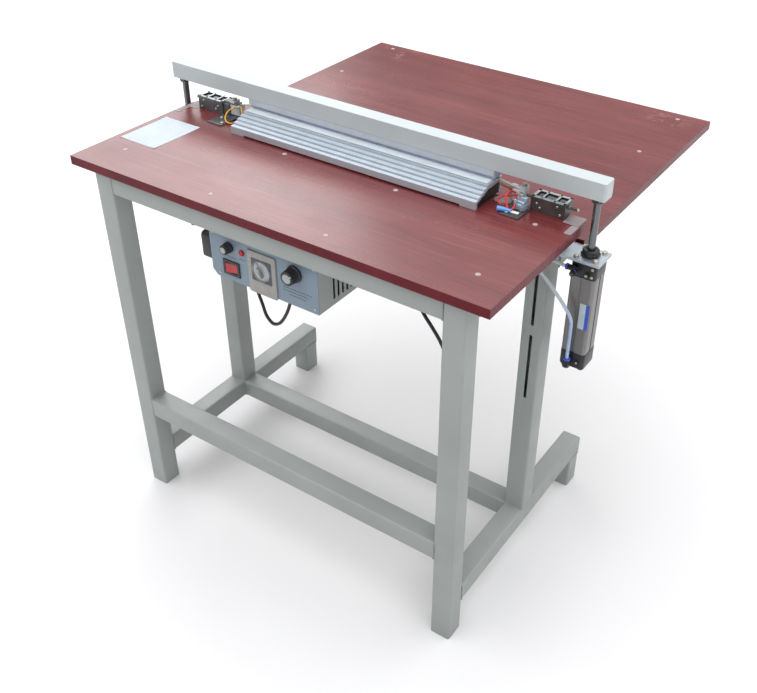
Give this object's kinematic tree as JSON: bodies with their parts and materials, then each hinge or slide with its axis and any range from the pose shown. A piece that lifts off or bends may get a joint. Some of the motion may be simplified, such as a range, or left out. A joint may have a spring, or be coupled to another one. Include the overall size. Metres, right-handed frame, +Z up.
{
  "type": "pneumatic table-type impulse heat sealer",
  "caption": "Table-type impulse heat sealer: a tube frame with a front and a lower rear table, a ribbed sealing jaw, a press beam on air cylinders and a control box.",
  "frame": {"origin": "on the floor, under the middle of the machine without its mains cord", "axes": "+X along the sealing jaw, to the right of someone who works at it; +Y from the front table to the rear table; +Z up"},
  "size_m": [0.93, 1.059, 0.834],
  "materials": {
    "frame_paint": "grey-green powder coat, satin",
    "beam_paint": "light grey powder coat, satin",
    "table_laminate": "mahogany laminate on chipboard, dark edge band",
    "jaw_aluminium": "anodised extrusion, satin",
    "strip_alloy": "bare resistance alloy",
    "release_cloth": "coated glass cloth, matt",
    "silicone": "matt silicone",
    "head_black": "black anodised casting, satin",
    "knob_black": "moulded plastic, satin",
    "rod_chrome": "ground and chromed",
    "zinc_steel": "zinc plated",
    "air_hose": "polyurethane, pale blue",
    "panel_paint": "blue-grey paint, satin",
    "signal_red": "moulded, glossy",
    "winding_copper": "varnished windings on a laminated core",
    "timer_beige": "moulded, satin",
    "dial_plastic": "moulded, glossy",
    "block_steel": "folded sheet, dull zinc",
    "clamp_ceramic": "matt ceramic insulator with a steel rod",
    "cord_rubber": "black PVC, satin"
  },
  "bodies": {
    "root": {"base_rail_front": "frame_paint", "base_rail_left": "frame_paint", "base_rail_rear": "frame_paint", "base_rail_right": "frame_paint", "control_case": "frame_paint", "control_lead": "cord_rubber", "control_panel": "panel_paint", "cord_coil": "cord_rubber", "cylinder_barrel_left": "jaw_aluminium", "cylinder_barrel_right": "jaw_aluminium", "cylinder_base_left": "head_black", "cylinder_base_right": "head_black", "cylinder_head_left": "head_black", "cylinder_head_right": "head_black", "front_table_top": "table_laminate", "heating_strip": "strip_alloy", "leg_front_left": "frame_paint", "leg_front_right": "frame_paint", "lower_air_hose_left": "air_hose", "lower_air_hose_right": "air_hose", "lower_jaw": "jaw_aluminium", "mains_connector": "knob_black", "mains_plug": "knob_black", "mounting_bracket_left": "zinc_steel", "mounting_bracket_right": "zinc_steel", "pilot_lamp": "signal_red", "post_rear_left": "frame_paint", "post_rear_right": "frame_paint", "power_cord": "cord_rubber", "rear_arm_left": "frame_paint", "rear_arm_right": "frame_paint", "rear_table_top": "table_laminate", "release_cloth": "release_cloth", "solenoid_valve": "jaw_aluminium", "switch_bezel": "knob_black", "tension_block_left": "block_steel", "tension_block_right": "block_steel", "tension_spring_left": "zinc_steel", "tension_spring_right": "zinc_steel", "timer_body": "timer_beige", "top_rail_front": "frame_paint", "top_rail_left": "frame_paint", "top_rail_rear": "frame_paint", "top_rail_right": "frame_paint", "transformer": "winding_copper", "upper_air_hose_left": "air_hose", "upper_air_hose_right": "air_hose"},
    "press": {"press_beam": "beam_paint", "upper_jaw": "jaw_aluminium", "jaw_pad": "silicone", "piston_rod_right": "rod_chrome", "piston_rod_left": "rod_chrome"},
    "rocker": {"rocker_switch": "signal_red"},
    "small_dial_knob": {"small_knob": "knob_black"},
    "large_dial_knob": {"large_knob": "knob_black"},
    "timer_setting": {"timer_dial": "dial_plastic"},
    "flow_screw_right": {"flow_knob_right": "knob_black"},
    "flow_screw_left": {"flow_knob_left": "knob_black"},
    "strip_clamp_right": {"tension_slide_right": "clamp_ceramic"},
    "strip_clamp_left": {"tension_slide_left": "clamp_ceramic"}
  },
  "joints": [
    {"name": "press_slide", "type": "slide", "parent": "root", "child": "press", "axis": [0, 0, 1], "range_m": [0, 0.025]},
    {"name": "rocker_tip", "type": "hinge", "parent": "root", "child": "rocker", "pos_m": [-0.0835, -0.435, 0.6315], "axis": [0, 0, 1], "range_deg": [-19.5, 0]},
    {"name": "small_knob_turn", "type": "hinge", "parent": "root", "child": "small_dial_knob", "pos_m": [-0.0855, -0.44, 0.672], "axis": [0, 1, 0], "range_deg": [-150, 150]},
    {"name": "large_knob_turn", "type": "hinge", "parent": "root", "child": "large_dial_knob", "pos_m": [0.054, -0.44, 0.669], "axis": [0, 1, 0], "range_deg": [-150, 150]},
    {"name": "timer_dial_turn", "type": "hinge", "parent": "root", "child": "timer_setting", "pos_m": [-0.0145, -0.44, 0.65], "axis": [0, 1, 0], "range_deg": [-135, 135]},
    {"name": "flow_screw_right_turn", "type": "hinge", "parent": "root", "child": "flow_screw_right", "pos_m": [0.426, -0.2, 0.679], "axis": [0, 1, 0], "range_deg": [-1080, 1080]},
    {"name": "flow_screw_left_turn", "type": "hinge", "parent": "root", "child": "flow_screw_left", "pos_m": [-0.426, -0.2, 0.679], "axis": [0, 1, 0], "range_deg": [-1080, 1080]},
    {"name": "strip_clamp_right_slide", "type": "slide", "parent": "root", "child": "strip_clamp_right", "axis": [1, 0, 0], "range_m": [0, 0.003], "stiffness_N_per_m": 1500},
    {"name": "strip_clamp_left_slide", "type": "slide", "parent": "root", "child": "strip_clamp_left", "axis": [-1, 0, 0], "range_m": [0, 0.003], "stiffness_N_per_m": 1500}
  ]
}
